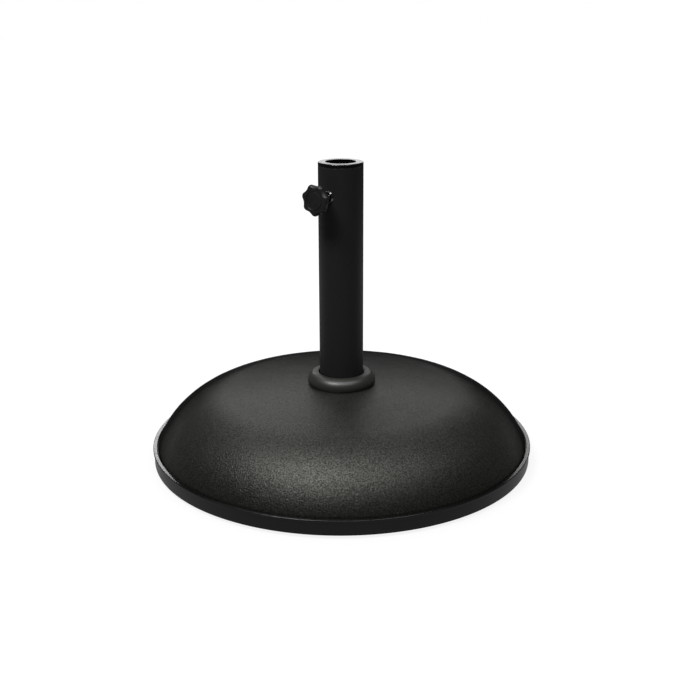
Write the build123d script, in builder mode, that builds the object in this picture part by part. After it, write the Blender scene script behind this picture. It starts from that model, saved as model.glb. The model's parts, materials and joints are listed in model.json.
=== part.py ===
from build123d import *
import os
from math import asin, cos, degrees, radians, sin, sqrt

# A free-standing parasol base: a round cast weight in a plastic edge ring, a steel upright tube
# bolted to it from below, and a star knob whose screw clamps the parasol's pole in the tube.
# Millimetres, +Z up. The origin is on the pole's axis, at floor level. The knob points to -Y.

os.makedirs("parts", exist_ok=True)

# ---- driving dimensions ----
base_diameter = 500.0
total_height = 390.0
dome_top = 99.7
tube_diameter = 57.0
tube_wall = 1.5
pole_bore_diameter = 38.2
clamp_height = 349.0
floor_gap = 4.0

# ---- edge ring: an L section with an overhanging lip ----
ring_height = 19.5
ring_top = floor_gap + ring_height
lip_overhang = 1.2
lip_thickness = 3.1
lip_bottom = ring_top - lip_thickness
lip_round = 0.8
ring_outer_radius = base_diameter / 2
ring_wall_radius = ring_outer_radius - lip_overhang
ring_wall = 2.8
ring_inner_radius = ring_wall_radius - ring_wall
lip_inner_radius = 244.7
ring_floor_thickness = 2.5
ring_floor_top = floor_gap + ring_floor_thickness
ring_floor_inner_radius = 196.0

# ---- cast weight: a shallow crown that turns down in a tighter shoulder ----
crown_radius = 1295.0
crown_end_radius = 152.0
dome_edge_radius = 243.8
dome_edge_height = 24.0
dome_edge_round = 1.2
shrinkage_gap = 0.1
weight_foot_radius = ring_inner_radius - shrinkage_gap
weight_shelf = lip_bottom - shrinkage_gap
crown_angle = degrees(asin(crown_end_radius / crown_radius))

# ---- upright tube and its welded foot flange ----
tube_radius = tube_diameter / 2
tube_bore_radius = tube_radius - tube_wall
flange_radius = 60.0
flange_thickness = 4.0
flange_top = 22.0
flange_bottom = flange_top - flange_thickness
flange_drain_radius = 15.0
weld_leg = 4.0
tube_passage_radius = tube_radius + 1.0
weld_relief_radius = tube_radius + weld_leg + 1.5
weld_relief_height = flange_top + weld_leg + 2.0
recess_radius = flange_radius + 4.0

# ---- M8 anchor fixings under the flange ----
anchor_circle_radius = 47.5
anchor_count = 4
m8_shank_radius = 3.9
m8_hole_radius = 4.0
m8_clearance_radius = 4.5
m8_hex_across_flats = 13.0
m8_head_height = 5.3
hex_corner_radius = m8_hex_across_flats / sqrt(3)
anchor_bolt_length = 25.0
washer_radius = 8.0
washer_thickness = 1.6
washer_hole_radius = 4.2
lock_washer_radius = 7.4
lock_washer_thickness = 2.0
lock_washer_gap = 1.2
insert_radius = 6.0
insert_length = 25.0
insert_thread_depth = 22.0
washer_bottom = flange_bottom - washer_thickness
lock_washer_bottom = washer_bottom - lock_washer_thickness

# ---- reinforcing wire cast into the weight ----
wire_radius = 3.0
wire_ring_radius = 150.0
wire_height = 42.0

# ---- plastic pieces that hold the pole ----
pole_bore_radius = pole_bore_diameter / 2
skin = 2.0
sleeve_flange_thickness = 5.0
sleeve_skirt_length = 28.0
sleeve_clearance = 0.15
sleeve_rim_round = 0.7
sleeve_mouth_round = 0.9
sleeve_rib_count = 8
sleeve_top = total_height
tube_top = sleeve_top - sleeve_flange_thickness
sleeve_bottom = tube_top - sleeve_skirt_length
plug_height = 38.0
plug_floor = 3.0
plug_clearance = 0.2
plug_drain_radius = 5.0
plug_mouth_chamfer = 1.2
plug_rib_count = 6
rib_width = 2.0

# ---- collar round the tube's foot: a hollow half-round ring ----
collar_widest_radius = 44.4
collar_bore_radius = 29.6
collar_round = 11.8
collar_widest_height = 103.4
collar_foot_radius = 43.0
collar_lip_round = 1.4
collar_skin = 2.0
collar_lip_depth = 8.0
collar_seat_gap = 0.05

# ---- clamp: distances are measured outward from the tube's axis ----
nut_face = 30.0
nut_inner_end = 22.5
nut_barrel_radius = 5.5
nut_flange_radius = 8.5
nut_shoulder = 24.0
nut_bulge_radius = 6.5
nut_bulge_end = 27.1
nut_bevel = 0.5
pad_face = 19.6
pad_radius = 3.3
pad_length = 2.5
pad_back = pad_face + pad_length
pivot_radius = 1.9
pivot_length = 1.4
pivot_clearance = 0.1
pad_chamfer = 0.5
knob_front = 56.5
knob_widest = 52.0
knob_front_round = 4.4
knob_lobe_radius = 20.1
knob_valley_radius = 17.5
knob_lobe_count = 7
knob_lobe_turn = 10.0
lobe_round = 5.0
envelope_radius = knob_lobe_radius + 0.3
hub_face = 32.4
hub_radius = 6.0
hub_neck_end = 36.5
cap_radius = 11.4
cap_clearance = 0.1
cap_thickness = 1.6
cap_skirt = 1.2
cap_dish_depth = 0.4
cap_dish_radius = 9.8
cap_seat = 53.4
screw_head_seat = cap_seat - m8_head_height
hex_clearance = 0.1

# The knob's outline is convex lobe arcs joined by concave valley arcs, all tangent. The valley
# arc's radius is the one that makes the two centres as far apart as the two radii together.
half_step = 180.0 / knob_lobe_count
lobe_centre_radius = knob_lobe_radius - lobe_round
valley_pull = 2 * lobe_centre_radius * cos(radians(half_step))
valley_round = (
    knob_valley_radius**2 + lobe_centre_radius**2 - knob_valley_radius * valley_pull - lobe_round**2
) / (2 * lobe_round + valley_pull - 2 * knob_valley_radius)

# ---- feet ----
foot_circle_radius = 215.0
foot_count = 4
foot_start_angle = 45.0
foot_radius = 16.0
foot_chamfer = 0.8
foot_hole_radius = 2.6
foot_bore_depth = 2.6
foot_bore_radius = 5.4
foot_screw_head_radius = 4.5
foot_screw_head_height = 2.1
foot_screw_radius = 2.2
foot_screw_length = 24.0
foot_plug_radius = 5.0
foot_plug_length = 27.0
foot_plug_bore_radius = 2.3

# Sections are drawn in XZ, with X as the distance from the pole's axis, and turned about Z.
# The clamp is drawn on planes square to its screw, and in a side plane whose X runs outward.
screw_axis = Axis((0, 0, clamp_height), (0, -1, 0))
screw_plane = Plane(origin=(0, 0, clamp_height), x_dir=(1, 0, 0), z_dir=(0, -1, 0))
screw_side_plane = Plane(origin=(0, 0, clamp_height), x_dir=(0, -1, 0), z_dir=(-1, 0, 0))


def crown_height(radius):
    """Height of the dome's crown at a distance from its axis."""
    return dome_top - crown_radius + sqrt(crown_radius**2 - radius**2)


def anchor_places():
    """The four bolt positions, 45 degrees off the knob."""
    return PolarLocations(anchor_circle_radius, anchor_count, start_angle=45.0)


def foot_places():
    """The four positions of the feet under the ring's floor."""
    return PolarLocations(foot_circle_radius, foot_count, start_angle=foot_start_angle)


def polar_point(radius, angle):
    """A sketch point at a distance and an angle in degrees from the sketch's origin."""
    return Vector(radius * cos(radians(angle)), radius * sin(radians(angle)))


def lobe_arc(tip_angle):
    """Start, tip and end of the arc round one lobe, where it meets the valley arcs tangentially."""
    lobe_centre = polar_point(lobe_centre_radius, tip_angle)
    ends = []
    for side in (-half_step, half_step):
        valley_centre = polar_point(knob_valley_radius + valley_round, tip_angle + side)
        ends.append(lobe_centre + (valley_centre - lobe_centre).normalized() * lobe_round)
    return ends[0], polar_point(knob_lobe_radius, tip_angle), ends[1]


def finish(piece, name):
    """Label a finished piece and write its file."""
    piece.part.label = name
    export_step(piece.part, f"parts/{name}.step")


# ---- base ----
with BuildPart() as edge_ring:
    with BuildSketch(Plane.XZ):
        with BuildLine():
            Polyline(
                (ring_floor_inner_radius, floor_gap),
                (ring_wall_radius, floor_gap),
                (ring_wall_radius, lip_bottom),
                (ring_outer_radius, lip_bottom),
                (ring_outer_radius, ring_top),
                (lip_inner_radius, ring_top),
                (lip_inner_radius, lip_bottom),
                (ring_inner_radius, lip_bottom),
                (ring_inner_radius, ring_floor_top),
                (ring_floor_inner_radius, ring_floor_top),
                close=True,
            )
        make_face()
    revolve(axis=Axis.Z)
    rims = edge_ring.edges().filter_by(GeomType.CIRCLE)
    fillet(rims.group_by(Axis.Z)[-1] + rims.group_by(SortBy.RADIUS)[-1].sort_by(Axis.Z)[:1], lip_round)
    chamfer(edge_ring.edges().filter_by(GeomType.CIRCLE).group_by(Axis.Z)[0].sort_by(SortBy.RADIUS)[-1], lip_round)
    with BuildSketch(Plane.XY.offset(floor_gap)):
        with foot_places():
            Circle(foot_hole_radius)
    extrude(amount=ring_floor_thickness, mode=Mode.SUBTRACT)

with BuildPart() as reinforcing_ring:
    with BuildSketch(Plane.XZ):
        with Locations((wire_ring_radius, wire_height)):
            Circle(wire_radius)
    revolve(axis=Axis.Z)

with BuildPart() as concrete_weight:
    with BuildSketch(Plane.XZ):
        with BuildLine():
            crown = JernArc((0, dome_top), (1, 0), crown_radius, -crown_angle)
            shoulder = TangentArc(crown @ 1, (dome_edge_radius, dome_edge_height), tangent=crown % 1)
            Polyline(
                shoulder @ 1,
                (dome_edge_radius, weight_shelf),
                (weight_foot_radius, weight_shelf),
                (weight_foot_radius, ring_floor_top),
                (0, ring_floor_top),
                crown @ 0,
            )
        make_face()
    revolve(axis=Axis.Z)
    dome_edge = edges().filter_by(GeomType.CIRCLE).filter_by_position(
        Axis.Z, dome_edge_height - 0.1, dome_edge_height + 0.1
    )
    fillet(dome_edge, dome_edge_round)
    with BuildSketch(Plane.XY.offset(ring_floor_top)):
        Circle(recess_radius)
    extrude(amount=flange_top - ring_floor_top, mode=Mode.SUBTRACT)
    with BuildSketch(Plane.XY.offset(flange_top)):
        Circle(tube_passage_radius)
    extrude(amount=dome_top, mode=Mode.SUBTRACT)
    with BuildSketch(Plane.XY.offset(flange_top)):
        Circle(weld_relief_radius)
    extrude(amount=weld_relief_height - flange_top, mode=Mode.SUBTRACT)
    with BuildSketch(Plane.XY.offset(flange_top)):
        with anchor_places():
            Circle(insert_radius)
    extrude(amount=insert_length, mode=Mode.SUBTRACT)
    with BuildSketch(Plane.XY.offset(ring_floor_top)):
        with foot_places():
            Circle(foot_plug_radius)
    extrude(amount=foot_plug_length, mode=Mode.SUBTRACT)
    add(reinforcing_ring.part, mode=Mode.SUBTRACT)

# ---- upright and its fixings ----
with BuildPart() as upright_tube:
    with BuildSketch(Plane.XY.offset(flange_top)):
        Circle(tube_radius)
        Circle(tube_bore_radius, mode=Mode.SUBTRACT)
    extrude(amount=tube_top - flange_top)
    with BuildSketch(screw_plane):
        Circle(nut_barrel_radius)
    extrude(amount=nut_face, mode=Mode.SUBTRACT)

with BuildPart() as anchor_flange:
    with BuildSketch(Plane.XZ):
        with BuildLine():
            Polyline(
                (flange_drain_radius, flange_bottom),
                (flange_radius, flange_bottom),
                (flange_radius, flange_top),
                (tube_radius + weld_leg, flange_top),
                (tube_radius, flange_top + weld_leg),
                (tube_radius, flange_top),
                (flange_drain_radius, flange_top),
                close=True,
            )
        make_face()
    revolve(axis=Axis.Z)
    with BuildSketch(Plane.XY.offset(flange_bottom)):
        with anchor_places():
            Circle(m8_clearance_radius)
    extrude(amount=flange_thickness, mode=Mode.SUBTRACT)

with BuildPart() as anchor_inserts:
    with BuildSketch(Plane.XY.offset(flange_top)):
        with anchor_places():
            Circle(insert_radius)
    extrude(amount=insert_length)
    with BuildSketch(Plane.XY.offset(flange_top)):
        with anchor_places():
            Circle(m8_hole_radius)
    extrude(amount=insert_thread_depth, mode=Mode.SUBTRACT)

with BuildPart() as anchor_washers:
    with BuildSketch(Plane.XY.offset(washer_bottom)):
        with anchor_places():
            Circle(washer_radius)
            Circle(washer_hole_radius, mode=Mode.SUBTRACT)
    extrude(amount=washer_thickness)

with BuildPart() as anchor_lock_washers:
    with BuildSketch(Plane.XY.offset(lock_washer_bottom)):
        with anchor_places():
            Circle(lock_washer_radius)
            Circle(washer_hole_radius, mode=Mode.SUBTRACT)
            with Locations((lock_washer_radius, 0)):
                Rectangle(2 * lock_washer_radius, lock_washer_gap, mode=Mode.SUBTRACT)
    extrude(amount=lock_washer_thickness)

with BuildPart() as anchor_bolts:
    with BuildSketch(Plane.XY.offset(lock_washer_bottom - m8_head_height)):
        with anchor_places():
            RegularPolygon(hex_corner_radius, 6)
    extrude(amount=m8_head_height)
    with BuildSketch(Plane.XY.offset(lock_washer_bottom)):
        with anchor_places():
            Circle(m8_shank_radius)
    extrude(amount=anchor_bolt_length)

# ---- pieces that hold the pole in the tube ----
with BuildPart() as pole_seat_plug:
    plug_radius = tube_bore_radius - plug_clearance
    with BuildSketch(Plane.XY.offset(flange_top)):
        Circle(plug_radius)
        Circle(plug_drain_radius, mode=Mode.SUBTRACT)
    extrude(amount=plug_floor)
    with BuildSketch(Plane.XY.offset(flange_top + plug_floor)):
        Circle(plug_radius)
        Circle(plug_radius - skin, mode=Mode.SUBTRACT)
        Circle(pole_bore_radius + skin)
        with PolarLocations((pole_bore_radius + plug_radius) / 2, plug_rib_count):
            Rectangle(plug_radius - pole_bore_radius - skin, rib_width)
        Circle(pole_bore_radius, mode=Mode.SUBTRACT)
    extrude(amount=plug_height - plug_floor)
    mouth = edges().filter_by(GeomType.CIRCLE).group_by(Axis.Z)[-1].sort_by(SortBy.RADIUS)[0]
    chamfer(mouth, plug_mouth_chamfer)

with BuildPart() as reducer_sleeve:
    skirt_radius = tube_bore_radius - sleeve_clearance
    with BuildSketch(Plane.XY.offset(sleeve_bottom)):
        Circle(skirt_radius)
        Circle(skirt_radius - skin, mode=Mode.SUBTRACT)
        Circle(pole_bore_radius + skin)
        with PolarLocations((pole_bore_radius + skirt_radius) / 2, sleeve_rib_count):
            Rectangle(skirt_radius - pole_bore_radius - skin, rib_width)
        Circle(pole_bore_radius, mode=Mode.SUBTRACT)
    extrude(amount=sleeve_skirt_length)
    with BuildSketch(Plane.XY.offset(tube_top)):
        Circle(tube_radius)
        Circle(pole_bore_radius, mode=Mode.SUBTRACT)
    extrude(amount=sleeve_flange_thickness)
    top_edges = edges().filter_by(GeomType.CIRCLE).group_by(Axis.Z)[-1].sort_by(SortBy.RADIUS)
    fillet(top_edges[-1], sleeve_rim_round)
    fillet(
        edges().filter_by(GeomType.CIRCLE).group_by(Axis.Z)[-1].sort_by(SortBy.RADIUS)[0],
        sleeve_mouth_round,
    )

# The collar's foot stands on the crown just clear of it, so that the collar lifts freely.
collar_seat = crown_height(collar_foot_radius - collar_skin) + collar_seat_gap
collar_top = collar_widest_height + collar_round
collar_centre_radius = collar_widest_radius - collar_round
with BuildPart() as foot_collar:
    with BuildSketch(Plane.XZ):
        with BuildLine():
            tuck = TangentArc(
                (collar_widest_radius, collar_widest_height), (collar_foot_radius, collar_seat), tangent=(0, -1)
            )
            back = CenterArc((collar_centre_radius, collar_widest_height), collar_round, 0, 90)
            Line(back @ 1, (collar_bore_radius + collar_lip_round, collar_top))
            lip = CenterArc(
                (collar_bore_radius + collar_lip_round, collar_top - collar_lip_round),
                collar_lip_round, 90, 90,
            )
            cavity = CenterArc(
                (collar_centre_radius, collar_widest_height), collar_round - collar_skin, 0, 90
            )
            cavity_tuck = TangentArc(
                cavity @ 0, (collar_foot_radius - collar_skin, collar_seat), tangent=(0, -1)
            )
            Line(tuck @ 1, cavity_tuck @ 1)
            Polyline(
                lip @ 1,
                (collar_bore_radius, collar_top - collar_lip_depth),
                (collar_bore_radius + collar_skin, collar_top - collar_lip_depth),
                (collar_bore_radius + collar_skin, collar_top - collar_skin),
                cavity @ 1,
            )
        make_face()
    revolve(axis=Axis.Z)

# ---- clamp ----
with BuildPart() as clamp_nut:
    with BuildSketch(screw_side_plane):
        with BuildLine():
            Polyline(
                (nut_inner_end, m8_hole_radius),
                (nut_inner_end, nut_barrel_radius),
                (nut_shoulder, nut_barrel_radius),
                (nut_shoulder + nut_bevel, nut_bulge_radius),
                (nut_bulge_end, nut_bulge_radius),
                (nut_bulge_end, nut_flange_radius),
                (nut_face - nut_bevel, nut_flange_radius),
                (nut_face, nut_flange_radius - nut_bevel),
                (nut_face, m8_hole_radius),
                close=True,
            )
        make_face()
    revolve(axis=screw_axis)
    add(upright_tube.part, mode=Mode.SUBTRACT)

with BuildPart() as screw_tip_pad:
    with BuildSketch(screw_plane.offset(pad_face)):
        Circle(pad_radius)
    extrude(amount=pad_length)
    chamfer(edges().filter_by(GeomType.CIRCLE).group_by(Axis.Y)[-1], pad_chamfer)
    with BuildSketch(screw_plane.offset(pad_back)):
        Circle(pivot_radius + pivot_clearance)
    extrude(amount=-(pivot_length + pivot_clearance), mode=Mode.SUBTRACT)

with BuildPart() as clamp_screw:
    with BuildSketch(screw_plane.offset(screw_head_seat)):
        RegularPolygon(hex_corner_radius, 6)
    extrude(amount=m8_head_height)
    with BuildSketch(screw_plane.offset(pad_back)):
        Circle(m8_shank_radius)
    extrude(amount=screw_head_seat - pad_back)
    with BuildSketch(screw_plane.offset(pad_back)):
        Circle(pivot_radius)
    extrude(amount=-pivot_length)

with BuildPart() as clamp_knob:
    with BuildSketch(screw_plane.offset(hub_face)):
        with BuildLine():
            for lobe in range(knob_lobe_count):
                tip_angle = knob_lobe_turn + lobe * 2 * half_step
                lobe_start, lobe_tip, lobe_end = lobe_arc(tip_angle)
                ThreePointArc(lobe_start, lobe_tip, lobe_end)
                valley = polar_point(knob_valley_radius, tip_angle + half_step)
                ThreePointArc(lobe_end, valley, lobe_arc(tip_angle + 2 * half_step)[0])
        make_face()
    extrude(amount=knob_front - hub_face)
    fillet(faces().sort_by(Axis.Y)[0].edges(), knob_front_round)
    with BuildSketch(screw_side_plane):
        with BuildLine():
            Polyline(
                (knob_front, envelope_radius),
                (knob_widest, envelope_radius),
                (hub_neck_end, hub_radius),
                (hub_face, hub_radius),
                (hub_face, 0),
                (knob_front, 0),
                close=True,
            )
        make_face()
    revolve(axis=screw_axis, mode=Mode.INTERSECT)
    with BuildSketch(screw_plane.offset(cap_seat)):
        Circle(cap_radius + cap_clearance)
    extrude(amount=knob_front - cap_seat, mode=Mode.SUBTRACT)
    with BuildSketch(screw_plane.offset(screw_head_seat)):
        RegularPolygon(hex_corner_radius + hex_clearance, 6)
    extrude(amount=m8_head_height, mode=Mode.SUBTRACT)
    with BuildSketch(screw_plane.offset(hub_face)):
        Circle(m8_hole_radius)
    extrude(amount=screw_head_seat - hub_face, mode=Mode.SUBTRACT)

with BuildPart() as knob_cap:
    with BuildSketch(screw_plane.offset(knob_front - cap_thickness)):
        Circle(cap_radius)
    extrude(amount=cap_thickness)
    with BuildSketch(screw_plane.offset(cap_seat)):
        Circle(cap_radius)
        Circle(cap_radius - cap_skirt, mode=Mode.SUBTRACT)
    extrude(amount=knob_front - cap_thickness - cap_seat)
    with BuildSketch(screw_plane.offset(knob_front - cap_dish_depth)):
        Circle(cap_dish_radius)
    extrude(amount=cap_dish_depth, mode=Mode.SUBTRACT)

# ---- feet ----
with BuildPart() as rubber_feet:
    with BuildSketch(Plane.XY):
        with foot_places():
            Circle(foot_radius)
            Circle(foot_hole_radius, mode=Mode.SUBTRACT)
    extrude(amount=floor_gap)
    with BuildSketch(Plane.XY):
        with foot_places():
            Circle(foot_bore_radius)
    extrude(amount=foot_bore_depth, mode=Mode.SUBTRACT)
    outer_edges = edges().filter_by(GeomType.CIRCLE).group_by(Axis.Z)[0].group_by(SortBy.RADIUS)[-1]
    chamfer(outer_edges, foot_chamfer)

with BuildPart() as foot_screws:
    with BuildSketch(Plane.XY.offset(foot_bore_depth - foot_screw_head_height)):
        with foot_places():
            Circle(foot_screw_head_radius)
    extrude(amount=foot_screw_head_height)
    with BuildSketch(Plane.XY.offset(foot_bore_depth)):
        with foot_places():
            Circle(foot_screw_radius)
    extrude(amount=foot_screw_length)

with BuildPart() as foot_plugs:
    with BuildSketch(Plane.XY.offset(ring_floor_top)):
        with foot_places():
            Circle(foot_plug_radius)
    extrude(amount=foot_plug_length)
    with BuildSketch(Plane.XY.offset(ring_floor_top)):
        with foot_places():
            Circle(foot_plug_bore_radius)
    extrude(amount=foot_plug_length - foot_plug_radius / 2, mode=Mode.SUBTRACT)

finish(edge_ring, "edge_ring")
finish(concrete_weight, "concrete_weight")
finish(reinforcing_ring, "reinforcing_ring")
finish(upright_tube, "upright_tube")
finish(anchor_flange, "anchor_flange")
finish(anchor_inserts, "anchor_inserts")
finish(anchor_washers, "anchor_washers")
finish(anchor_lock_washers, "anchor_lock_washers")
finish(anchor_bolts, "anchor_bolts")
finish(pole_seat_plug, "pole_seat_plug")
finish(reducer_sleeve, "reducer_sleeve")
finish(foot_collar, "foot_collar")
finish(clamp_nut, "clamp_nut")
finish(screw_tip_pad, "screw_tip_pad")
finish(clamp_screw, "clamp_screw")
finish(clamp_knob, "clamp_knob")
finish(knob_cap, "knob_cap")
finish(rubber_feet, "rubber_feet")
finish(foot_screws, "foot_screws")
finish(foot_plugs, "foot_plugs")
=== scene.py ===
import json
import math

import bmesh
import bpy
from mathutils import Matrix, Vector, noise


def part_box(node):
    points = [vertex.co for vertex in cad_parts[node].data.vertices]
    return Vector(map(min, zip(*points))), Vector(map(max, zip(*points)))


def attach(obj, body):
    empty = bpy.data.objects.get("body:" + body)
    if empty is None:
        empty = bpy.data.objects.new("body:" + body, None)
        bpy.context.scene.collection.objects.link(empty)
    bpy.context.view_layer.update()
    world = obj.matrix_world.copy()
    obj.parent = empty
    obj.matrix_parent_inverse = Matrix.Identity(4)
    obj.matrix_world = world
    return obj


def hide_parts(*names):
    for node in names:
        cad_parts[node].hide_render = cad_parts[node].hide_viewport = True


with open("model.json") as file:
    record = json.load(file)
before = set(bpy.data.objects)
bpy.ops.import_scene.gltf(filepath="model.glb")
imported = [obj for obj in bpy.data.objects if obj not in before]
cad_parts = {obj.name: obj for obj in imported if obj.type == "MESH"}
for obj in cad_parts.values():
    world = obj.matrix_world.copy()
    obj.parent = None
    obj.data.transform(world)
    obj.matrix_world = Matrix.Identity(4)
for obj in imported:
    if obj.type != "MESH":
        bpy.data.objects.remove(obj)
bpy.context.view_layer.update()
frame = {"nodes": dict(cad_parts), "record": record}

# The parasol base's visual model. Metres, +Z up, origin on the pole's axis at floor level, the knob
# towards -Y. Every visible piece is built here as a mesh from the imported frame's own boxes and takes
# the place of its CAD node; pieces buried in the concrete stay as CAD nodes.

MM = 0.001
NODE_BODY = {node: body for body, nodes in frame["record"]["behaviour"]["bodies"].items() for node in nodes}
NODE_SLOT = {row["node"]: row["material_slot"] for row in frame["record"]["subparts"]}


# ---------------------------------------------------------------- sizes read from the frame
def radius_of(node):
    """Half the width of a node that is round about the pole's axis."""
    low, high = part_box(node)
    return (high.x - low.x) / 2


def bottom_of(node):
    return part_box(node)[0].z


def top_of(node):
    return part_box(node)[1].z


def reach_of(node):
    """How far a clamp piece reaches out from the tube's axis, towards the knob."""
    return -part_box(node)[0].y


def inner_end_of(node):
    """How near a clamp piece comes to the tube's axis."""
    return -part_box(node)[1].y


CLAMP_HEIGHT = (top_of("clamp_nut") + bottom_of("clamp_nut")) / 2
CLAMP_PLACE = Matrix(((1, 0, 0, 0), (0, 0, -1, 0), (0, 1, 0, CLAMP_HEIGHT), (0, 0, 0, 1)))
TUBE_RADIUS = radius_of("upright_tube")
TUBE_WALL = 1.5 * MM
TUBE_BORE = TUBE_RADIUS - TUBE_WALL
POLE_BORE = 19.1 * MM
SKIN = 2 * MM


# ---------------------------------------------------------------- mesh helpers
def arc(centre, radius, start, end, steps):
    """Profile points along an arc, with angles in degrees from the outward direction."""
    points = []
    for step in range(steps + 1):
        angle = math.radians(start + (end - start) * step / steps)
        points.append((centre[0] + radius * math.cos(angle), centre[1] + radius * math.sin(angle)))
    return points


def rounded(corners, steps=4):
    """A profile from (radius, height, round) corners, with each round drawn as an arc."""
    points = []
    for index, corner in enumerate(corners):
        here = Vector(corner[:2])
        size = corner[2] if len(corner) > 2 else 0
        if not size:
            points.append(tuple(here))
            continue
        before = (Vector(corners[index - 1][:2]) - here).normalized()
        after = (Vector(corners[(index + 1) % len(corners)][:2]) - here).normalized()
        half = before.angle(after) / 2
        centre = here + (before + after).normalized() * size / math.sin(half)
        first = here + before * size / math.tan(half) - centre
        last = here + after * size / math.tan(half) - centre
        sweep = first.angle_signed(last)
        for step in range(steps + 1):
            points.append(tuple(centre + Matrix.Rotation(-sweep * step / steps, 2) @ first))
    return points


def mesh_object(name, points, faces, place=None):
    """An object from points and faces, cleaned up and shaded smooth, put in the scene."""
    mesh = bpy.data.meshes.new(name)
    mesh.from_pydata(points, [], faces)
    if place is not None:
        mesh.transform(place)
    shape = bmesh.new()
    shape.from_mesh(mesh)
    bmesh.ops.remove_doubles(shape, verts=shape.verts, dist=1e-7)
    bmesh.ops.recalc_face_normals(shape, faces=shape.faces)
    shape.to_mesh(mesh)
    shape.free()
    mesh.shade_smooth()
    made = bpy.data.objects.new(name, mesh)
    bpy.context.scene.collection.objects.link(made)
    return made


def lathe(name, profile, segments, place=None, bend=None):
    """A closed solid: profile points (radius, height) turned once about Z.
    bend, if given, moves each point: it takes (profile point, turn) and gives (radius, height)."""
    points, faces = [], []
    count = len(profile)
    for step in range(segments):
        turn = 2 * math.pi * step / segments
        for item in profile:
            radius, height = bend(item, turn) if bend else item[:2]
            points.append((radius * math.cos(turn), radius * math.sin(turn), height))
    for step in range(segments):
        here, there = step * count, (step + 1) % segments * count
        for index in range(count):
            after = (index + 1) % count
            faces.append((here + index, there + index, there + after, here + after))
    return mesh_object(name, points, faces, place)


def block(name, size, centre, turn=0.0):
    """A box with its edges slightly rounded, turned about Z round the origin."""
    shape = bmesh.new()
    bmesh.ops.create_cube(shape, size=1.0)
    bmesh.ops.scale(shape, vec=size, verts=shape.verts)
    bmesh.ops.bevel(
        shape, geom=shape.edges[:], offset=min(size) * 0.12, segments=2, affect="EDGES", profile=0.5
    )
    bmesh.ops.translate(shape, vec=centre, verts=shape.verts)
    bmesh.ops.rotate(shape, cent=(0, 0, 0), matrix=Matrix.Rotation(turn, 3, "Z"), verts=shape.verts)
    mesh = bpy.data.meshes.new(name)
    shape.to_mesh(mesh)
    shape.free()
    mesh.shade_smooth()
    made = bpy.data.objects.new(name, mesh)
    bpy.context.scene.collection.objects.link(made)
    return made


def join(name, parts):
    """One object holding the meshes of several."""
    shape = bmesh.new()
    for part in parts:
        shape.from_mesh(part.data)
        mesh = part.data
        bpy.data.objects.remove(part)
        bpy.data.meshes.remove(mesh)
    mesh = bpy.data.meshes.new(name)
    shape.to_mesh(mesh)
    shape.free()
    made = bpy.data.objects.new(name, mesh)
    bpy.context.scene.collection.objects.link(made)
    return made


def cut(target, cutter):
    """Takes the cutter's volume out of the target."""
    boolean = target.modifiers.new("cut", "BOOLEAN")
    boolean.operation = "DIFFERENCE"
    boolean.solver = "EXACT"
    boolean.object = cutter
    bake_modifiers(target)
    mesh = cutter.data
    bpy.data.objects.remove(cutter)
    bpy.data.meshes.remove(mesh)
    return target


def bake_modifiers(target):
    """Applies the object's modifiers to its mesh."""
    graph = bpy.context.evaluated_depsgraph_get()
    graph.update()
    baked = bpy.data.meshes.new_from_object(target.evaluated_get(graph))
    old = target.data
    target.modifiers.clear()
    target.data = baked
    bpy.data.meshes.remove(old)


def crisp(target, angle=35.0):
    """Flat faces stay flat and edges sharper than the angle stay sharp."""
    target.data.set_sharp_from_angle(angle=math.radians(angle))
    weighted = target.modifiers.new("flat_faces", "WEIGHTED_NORMAL")
    weighted.keep_sharp = True
    return target


def copies(name, source, places):
    """One object with the source's mesh at each place, and the source removed."""
    parts = []
    for place in places:
        part = source.copy()
        part.data = source.data.copy()
        part.data.transform(place)
        parts.append(part)
    mesh = source.data
    bpy.data.objects.remove(source)
    bpy.data.meshes.remove(mesh)
    return join(name, parts)


def stand_for(node, piece, material):
    """The piece takes the CAD node's place: its body and its finish."""
    piece.name = node + "_form"
    piece.data.name = piece.name
    piece.data.materials.clear()
    piece.data.materials.append(material)
    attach(piece, NODE_BODY[node])
    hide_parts(node)
    return piece


# ---------------------------------------------------------------- base
DOME_SEGMENTS = 900
DOME_STEP = 1.7 * MM
CROWN_RADIUS = 1295 * MM
CROWN_END = 152 * MM
RECESS_RADIUS = 64 * MM
RECESS_TOP = 22 * MM
TUBE_PASSAGE = TUBE_RADIUS + 1 * MM
DOME_TOP = top_of("concrete_weight") + CROWN_RADIUS - math.sqrt(CROWN_RADIUS**2 - TUBE_PASSAGE**2)
DOME_EDGE = (243.8 * MM, 24 * MM)
RING_TOP = top_of("edge_ring")
RING_BOTTOM = bottom_of("edge_ring")
RING_RADIUS = radius_of("edge_ring")
LIP_THICKNESS = 3.1 * MM
LIP_BOTTOM = RING_TOP - LIP_THICKNESS
LIP_OVERHANG = 1.2 * MM
RING_WALL = 2.8 * MM


def shoulder_circle():
    """Centre and radius of the arc that leaves the crown tangentially and ends at the dome's edge."""
    tilt = math.asin(CROWN_END / CROWN_RADIUS)
    start = Vector((CROWN_END, DOME_TOP - CROWN_RADIUS * (1 - math.cos(tilt))))
    inward = Vector((-math.sin(tilt), -math.cos(tilt)))
    chord = Vector(DOME_EDGE) - start
    radius = chord.length_squared / (2 * chord.dot(inward))
    return start + inward * radius, radius, tilt


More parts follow.
